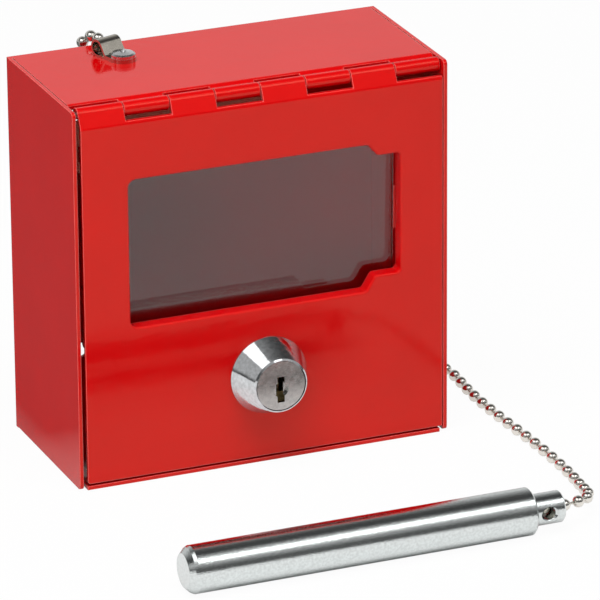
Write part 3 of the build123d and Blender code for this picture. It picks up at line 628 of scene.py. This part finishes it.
class KEYBOX_OT_bead_chain(bpy.types.Operator):
    """Thread the hollow beads on their wire links along the chain's line"""

    bl_idname = "keybox.bead_chain"
    bl_label = "Bead chain"

    def execute(self, context):
        path = drawn_line(CHAIN_POINTS)
        route = Route(path)
        # The first bead sits in the strap's loop and the last one in the hammer's neck.
        before_line = (Vector(CHAIN_POINTS[0]) - Vector(STRAP_BEAD)).length
        after_line = CHAIN_POINTS[-1][0] - NECK_BEAD_X
        whole = before_line + route.length + after_line
        count = round(whole / sizes().bead_pitch)
        places = [k * whole / count - before_line for k in range(1, count)]
        reach = sizes().bead_diameter / 2 * LINK_REACH

        bead, bead_faces = bead_shape()
        corners, faces = [], []

        def add_part(points, polygons):
            start = len(corners)
            corners.extend(points)
            faces.extend(tuple(start + i for i in polygon) for polygon in polygons)

        add_part(*link_shape(route, 0.0, places[0] - reach))
        for place, after in zip(places, places[1:] + [None]):
            add_part(route.turned(place, bead), bead_faces)
            end = route.length if after is None else after - reach
            add_part(*link_shape(route, place + reach, end))
        mesh = bpy.data.meshes.new("bead_chain")
        mesh.from_pydata(corners, [], faces)
        mesh.shade_smooth()
        mesh.materials.append(plated_metal("nickel_plated_steel_bead"))
        chain = bpy.data.objects.new("bead_chain", mesh)
        context.scene.collection.objects.link(chain)
        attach(chain, "box")
        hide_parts("ball_chain")
        return {"FINISHED"}


# ------------------------------------------------------------------ dressing
class KEYBOX_OT_sheet_metal(bpy.types.Operator):
    """Coat the folded box, the door and their brackets"""

    bl_idname = "keybox.sheet_metal"
    bl_label = "Powder coat"

    def execute(self, context):
        dress(
            powder_coat(),
            "body_shell",
            "door_panel",
            "lower_pane_channel",
            "upper_pane_channel",
            "pane_end_stop",
            "lock_strike",
        )
        return {"FINISHED"}


class KEYBOX_OT_glass(bpy.types.Operator):
    """Glaze the window"""

    bl_idname = "keybox.glass"
    bl_label = "Glass pane"

    def execute(self, context):
        dress(float_glass(), "glass_pane")
        return {"FINISHED"}


class KEYBOX_OT_lock(bpy.types.Operator):
    """Finish the cam lock"""

    bl_idname = "keybox.lock"
    bl_label = "Cam lock"

    def execute(self, context):
        dress(bellied_chrome(), "lock_housing")
        dress(plated_metal("satin_nickel_plate"), "lock_plug")
        dress(plated_metal("stamped_brass"), "lock_wafers")
        return {"FINISHED"}


class KEYBOX_OT_hardware(bpy.types.Operator):
    """Finish the plated steel pieces, the rivet and the chain's strap"""

    bl_idname = "keybox.hardware"
    bl_label = "Plated pieces"

    def execute(self, context):
        dress(
            plated_metal("bright_zinc_plate"),
            "hinge_pin",
            "pane_spring",
            "pane_spring_nut",
            "wafer_springs",
            "lock_washer",
            "lock_nut",
            "cam_stop_washer",
            "lock_cam",
            "cam_screw",
            "key_hook",
            "key_hook_rivet",
            "hammer_rod",
        )
        dress(plated_metal("nickel_plated_strip"), "chain_strap", "bead_in_strap", "bead_in_hammer")
        dress(plated_metal("bright_aluminium_rivet"), "strap_rivet")
        return {"FINISHED"}


OPERATORS = (
    KEYBOX_OT_camera,
    KEYBOX_OT_bead_chain,
    KEYBOX_OT_stage,
    KEYBOX_OT_sheet_metal,
    KEYBOX_OT_glass,
    KEYBOX_OT_lock,
    KEYBOX_OT_hardware,
)


class KEYBOX_PT_panel(bpy.types.Panel):
    """Lists the key box's sizes, colours and pieces."""

    bl_idname = "KEYBOX_PT_panel"
    bl_label = "Key box"
    bl_space_type = "VIEW_3D"
    bl_region_type = "UI"
    bl_category = "Key box"

    def draw(self, context):
        for group in (sizes(), colours()):
            column = self.layout.column()
            for name in type(group).__annotations__:
                column.prop(group, name)
        for operator in OPERATORS:
            self.layout.operator(operator.bl_idname)


CLASSES = (KeyBoxSizes, KeyBoxColours, *OPERATORS, KEYBOX_PT_panel)


def register():
    for item in CLASSES:
        bpy.utils.register_class(item)
    bpy.types.Scene.key_box_sizes = bpy.props.PointerProperty(type=KeyBoxSizes)
    bpy.types.Scene.key_box_colours = bpy.props.PointerProperty(type=KeyBoxColours)


def unregister():
    del bpy.types.Scene.key_box_colours
    del bpy.types.Scene.key_box_sizes
    for item in reversed(CLASSES):
        bpy.utils.unregister_class(item)


def main():
    register()
    for operator in OPERATORS:
        getattr(bpy.ops.keybox, operator.bl_idname.split(".")[1])()


if __name__ == "__main__":
    main()
